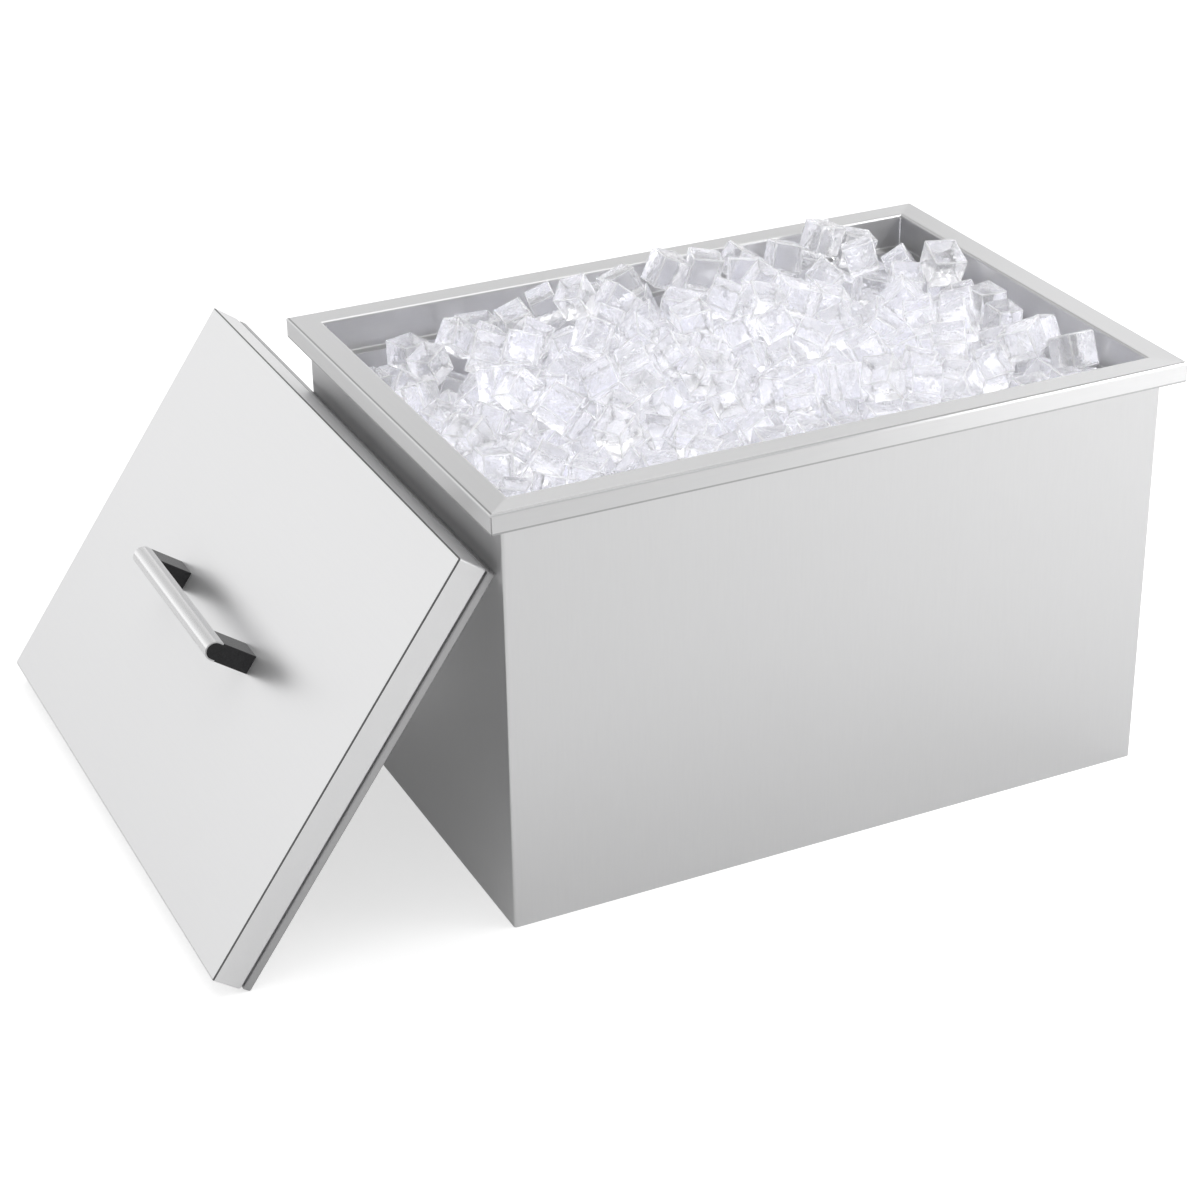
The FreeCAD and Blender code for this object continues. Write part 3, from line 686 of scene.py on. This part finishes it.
def spread(length):
    """Places of the columns along one side of the well."""
    count = int(length / PITCH)
    return [((i + 0.5) / count - 0.5) * length for i in range(count)]


layers = [[drop_cube((x, y, (k + LIFT) * PITCH)) for x in spread(pour_length) for y in spread(pour_depth)]
          for k in range(LAYERS)]
lowest, others = layers[0], sum(layers[1:], [])
for model in models:
    bpy.data.objects.remove(model)
print(len(lowest) + len(others), "cubes set out")

# %% [markdown]
# The cubes fall into a mould of five slabs that is as wide as the well and gone after the pour. A hollow
# box would be one piece, but the physics engine takes plain blocks more reliably. The lowest layer
# never moves, and strong friction and damping keep the others from rolling flat.

# %% Slabs of the mould
SLAB = 0.1 * POUR_SCALE
SLAB_TOP = 0.8 * POUR_SCALE
half_x, half_y = pour_length / 2, pour_depth / 2
far_x, far_y = half_x + SLAB, half_y + SLAB


def slab(low, high):
    """Slab of the mould between two opposite corners."""
    deselect_all()
    bpy.ops.mesh.primitive_cube_add(size=1, location=[(a + b) / 2 for a, b in zip(low, high)],
                                    scale=[b - a for a, b in zip(low, high)])
    bpy.ops.object.transform_apply(location=False, rotation=False, scale=True)
    return bpy.context.object


slabs = [slab((-far_x, -far_y, -SLAB), (far_x, far_y, 0))]
slabs += [slab((side * half_x, -far_y, 0), (side * far_x, far_y, SLAB_TOP)) for side in (-1, 1)]
slabs += [slab((-half_x, side * half_y, 0), (half_x, side * far_y, SLAB_TOP)) for side in (-1, 1)]
print("mould:", len(slabs), "slabs")

# %% Pour and settle
POUR_FRAMES = 90
SUBSTEPS = 8
SOLVER_STEPS = 12
CUBE_FRICTION = 2.0
CUBE_DRAG = 0.1
CUBE_SPIN_DRAG = 0.99
CUBE_MARGIN = 0.2 * MM * POUR_SCALE


def rigid(pieces, kind, friction):
    """Gives the pieces a place in the physics world."""
    deselect_all()
    for piece in pieces:
        piece.select_set(True)
    bpy.context.view_layer.objects.active = pieces[0]
    bpy.ops.rigidbody.objects_add(type=kind)
    for piece in pieces:
        body = piece.rigid_body
        body.collision_shape = "BOX"
        body.use_margin = True
        body.collision_margin = CUBE_MARGIN
        body.friction = friction
        body.restitution = 0.0
        body.linear_damping = CUBE_DRAG
        body.angular_damping = CUBE_SPIN_DRAG


scene = bpy.context.scene
bpy.ops.rigidbody.world_add()
scene.rigidbody_world.substeps_per_frame = SUBSTEPS
scene.rigidbody_world.solver_iterations = SOLVER_STEPS
scene.rigidbody_world.point_cache.frame_end = POUR_FRAMES
rigid(slabs, "PASSIVE", 0.0)
rigid(lowest, "PASSIVE", CUBE_FRICTION)
rigid(others, "ACTIVE", CUBE_FRICTION)
for step in range(1, POUR_FRAMES + 1):
    scene.frame_set(step)
deselect_all()
for cube in others:
    cube.select_set(True)
bpy.context.view_layer.objects.active = others[0]
bpy.ops.object.visual_transform_apply()
bpy.ops.rigidbody.world_remove()
for piece in slabs:
    bpy.data.objects.remove(piece)
scene.frame_set(1)
print("poured for", POUR_FRAMES, "frames")

# %% [markdown]
# More cubes were poured than are needed. Those above the wanted heap are taken off now, as with a scoop,
# so the heap gets its shape and the cubes that stay still lie as they fell. The wanted heap is a level
# plain with a few soft hills and dips. The ice only fills the upper half of the well, and the drain
# plug below it keeps its room.

# %% Shape of the heap
HEAP_EDGE = -14.0 * MM
MOUND = {"x": 25.0 * MM, "y": 140.0 * MM, "wide": 190.0 * MM, "deep": 120.0 * MM, "rise": 26.0 * MM}
BACK_RISE = {"x": -60.0 * MM, "y": 140.0 * MM, "wide": 95.0 * MM, "deep": 90.0 * MM, "rise": 20.0 * MM}
LEFT_DIP = {"x": -226.0 * MM, "y": 150.0 * MM, "wide": 110.0 * MM, "deep": 100.0 * MM, "rise": -24.0 * MM}
RIGHT_DIP = {"x": 226.0 * MM, "y": 150.0 * MM, "wide": 45.0 * MM, "deep": 50.0 * MM, "rise": -44.0 * MM}
RIGHT_RISE = {"x": 226.0 * MM, "y": 0.0, "wide": 120.0 * MM, "deep": 170.0 * MM, "rise": 12.0 * MM}


def heap_level(x, y):
    """Highest place for a cube's middle, over the rim: low all round, with soft hills and dips."""
    level = HEAP_EDGE
    for hill in (MOUND, BACK_RISE, LEFT_DIP, RIGHT_DIP, RIGHT_RISE):
        away = ((x - hill["x"]) / hill["wide"]) ** 2 + ((y - hill["y"]) / hill["deep"]) ** 2
        level += hill["rise"] * math.exp(-away)
    return level


print("heap over the rim at the mound:", round(heap_level(MOUND["x"], MOUND["y"]) / MM, 1), "mm")

# %% Take off what lies above the heap and shrink the rest into the well
POUR_FLOOR = 136.0 * MM
HIGHEST = 18.5 * MM
into_well = Matrix.Translation((0, 0, rim_high.z - POUR_FLOOR)) @ Matrix.Scale(1 / POUR_SCALE, 4)
kept = []
for cube in lowest + others:
    middle = into_well @ cube.location
    top = max((into_well @ cube.matrix_world @ point.co).z for point in cube.data.vertices)
    if middle.z < rim_high.z + heap_level(middle.x, middle.y) and top < rim_high.z + HIGHEST:
        kept.append(cube)
    else:
        bpy.data.objects.remove(cube)
ice = join_all(kept, "ice_cubes")
ice.data.transform(into_well)
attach(ice, "bin")
heights = [point.co.z for point in ice.data.vertices]
print(len(kept), "cubes stay,", len(ice.data.polygons), "faces,",
      "from", round(min(heights), 3), "to", round(max(heights), 3), "m")
